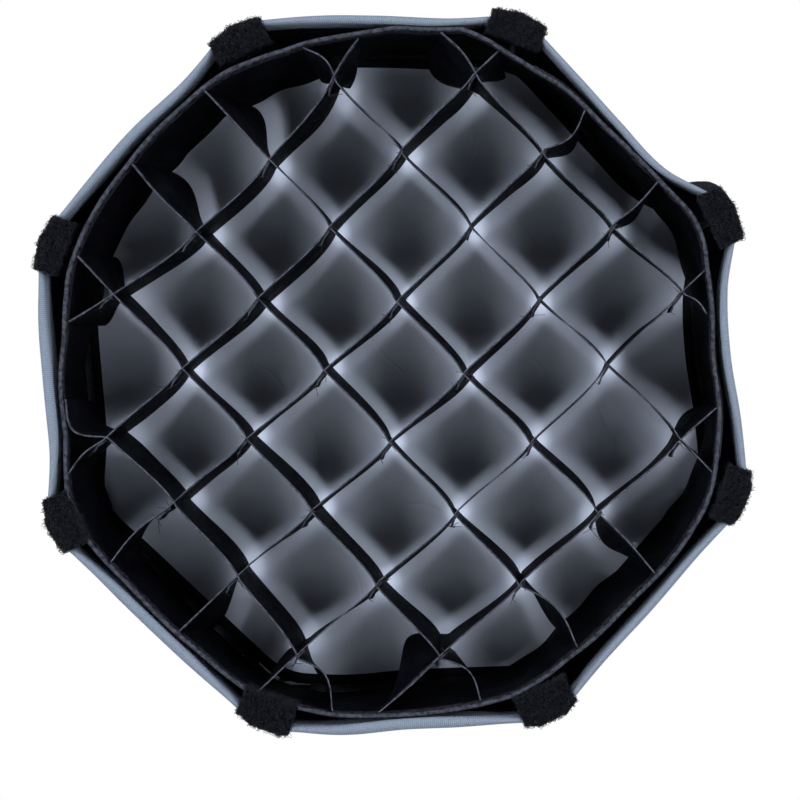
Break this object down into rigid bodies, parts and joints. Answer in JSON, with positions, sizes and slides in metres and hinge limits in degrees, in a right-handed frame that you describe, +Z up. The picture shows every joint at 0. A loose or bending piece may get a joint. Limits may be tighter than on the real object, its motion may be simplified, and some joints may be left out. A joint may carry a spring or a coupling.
{
  "type": "octabox",
  "caption": "Small octagonal softbox with a recessed white diffuser, a black fabric egg-crate grid, bowed rods and a turning speed ring on a bayonet adapter.",
  "frame": {"origin": "centre of the lamp throat, in the plane where the adapter's flange seats on the lamp", "axes": "+Y along the throat towards the lamp, so the light leaves towards -Y; +Z up; +X to the right seen from the front"},
  "size_m": [0.305, 0.177, 0.305],
  "materials": {
    "adapter_metal": "satin black paint on die-cast aluminium",
    "ring_metal": "black anodised, turned",
    "washer_plastic": "natural acetal",
    "screw_steel": "blackened steel",
    "socket_plastic": "moulded glass-filled nylon",
    "rod_steel": "drawn spring-steel wire",
    "tip_rubber": "matt black rubber",
    "knob_plastic": "fluted moulded nylon",
    "pad_plastic": "natural nylon",
    "shell_fabric": "coated woven polyester, black outside and silver inside",
    "collar_elastic": "ribbed knitted elastic",
    "ribbon": "ribbed pale blue-grey binding ribbon",
    "loop_tape": "brushed nylon loop pile",
    "hook_tape": "woven nylon tape with hooks",
    "diffuser_cloth": "white translucent satin-weave polyester",
    "strap_elastic": "black braided elastic",
    "grid_fabric": "black coated woven polyester, raw edges"
  },
  "bodies": {
    "adapter": {"mount_adapter": "adapter_metal", "glide_washer": "washer_plastic", "retainer_ring": "ring_metal", "retainer_screws": "screw_steel"},
    "softbox": {"speed_ring": "ring_metal", "socket_screws": "screw_steel", "rear_collar": "collar_elastic", "edge_binding": "ribbon", "lip_loop_tape": "loop_tape", "inner_diffuser": "diffuser_cloth", "inner_diffuser_straps": "strap_elastic", "rod_socket_1": "socket_plastic", "rod_socket_2": "socket_plastic", "rod_socket_3": "socket_plastic", "rod_socket_4": "socket_plastic", "rod_socket_5": "socket_plastic", "rod_socket_6": "socket_plastic", "rod_socket_7": "socket_plastic", "rod_socket_8": "socket_plastic", "rod_1": "rod_steel", "rod_2": "rod_steel", "rod_3": "rod_steel", "rod_4": "rod_steel", "rod_5": "rod_steel", "rod_6": "rod_steel", "rod_7": "rod_steel", "rod_8": "rod_steel", "rod_tip_1": "tip_rubber", "rod_tip_2": "tip_rubber", "rod_tip_3": "tip_rubber", "rod_tip_4": "tip_rubber", "rod_tip_5": "tip_rubber", "rod_tip_6": "tip_rubber", "rod_tip_7": "tip_rubber", "rod_tip_8": "tip_rubber", "shell_panel_1": "shell_fabric", "shell_panel_2": "shell_fabric", "shell_panel_3": "shell_fabric", "shell_panel_4": "shell_fabric", "shell_panel_5": "shell_fabric", "shell_panel_6": "shell_fabric", "shell_panel_7": "shell_fabric", "shell_panel_8": "shell_fabric", "corner_pocket_1": "loop_tape", "corner_pocket_2": "loop_tape", "corner_pocket_3": "loop_tape", "corner_pocket_4": "loop_tape", "corner_pocket_5": "loop_tape", "corner_pocket_6": "loop_tape", "corner_pocket_7": "loop_tape", "corner_pocket_8": "loop_tape"},
    "lock_pad": {"lock_pad": "pad_plastic"},
    "lock_knob": {"lock_knob": "knob_plastic", "lock_stud": "screw_steel"},
    "diffuser": {"front_diffuser": "diffuser_cloth", "diffuser_hook_tape": "hook_tape"},
    "grid": {"grid_border": "grid_fabric", "grid_strips_rising": "grid_fabric", "grid_strips_falling": "grid_fabric", "grid_hook_tape": "hook_tape"}
  },
  "joints": [
    {"name": "ring_rotation", "type": "hinge", "parent": "adapter", "child": "softbox", "pos_m": [0, 0, 0], "axis": [0, 1, 0], "continuous": true},
    {"name": "lock_travel", "type": "slide", "parent": "softbox", "child": "lock_pad", "axis": [1, 0, 0], "range_m": [0, 0.002]},
    {"name": "lock_turn", "type": "hinge", "parent": "lock_pad", "child": "lock_knob", "pos_m": [0.08, -0.0082, 0], "axis": [1, 0, 0], "range_deg": [0, 720]},
    {"name": "diffuser_off", "type": "slide", "parent": "softbox", "child": "diffuser", "axis": [0, -1, 0], "range_m": [0, 0.08]},
    {"name": "grid_off", "type": "slide", "parent": "diffuser", "child": "grid", "axis": [0, -1, 0], "range_m": [0, 0.08]}
  ],
  "couplings": [
    {"joint": "lock_turn", "follows": "lock_travel", "rad_per_m": 6283}
  ]
}
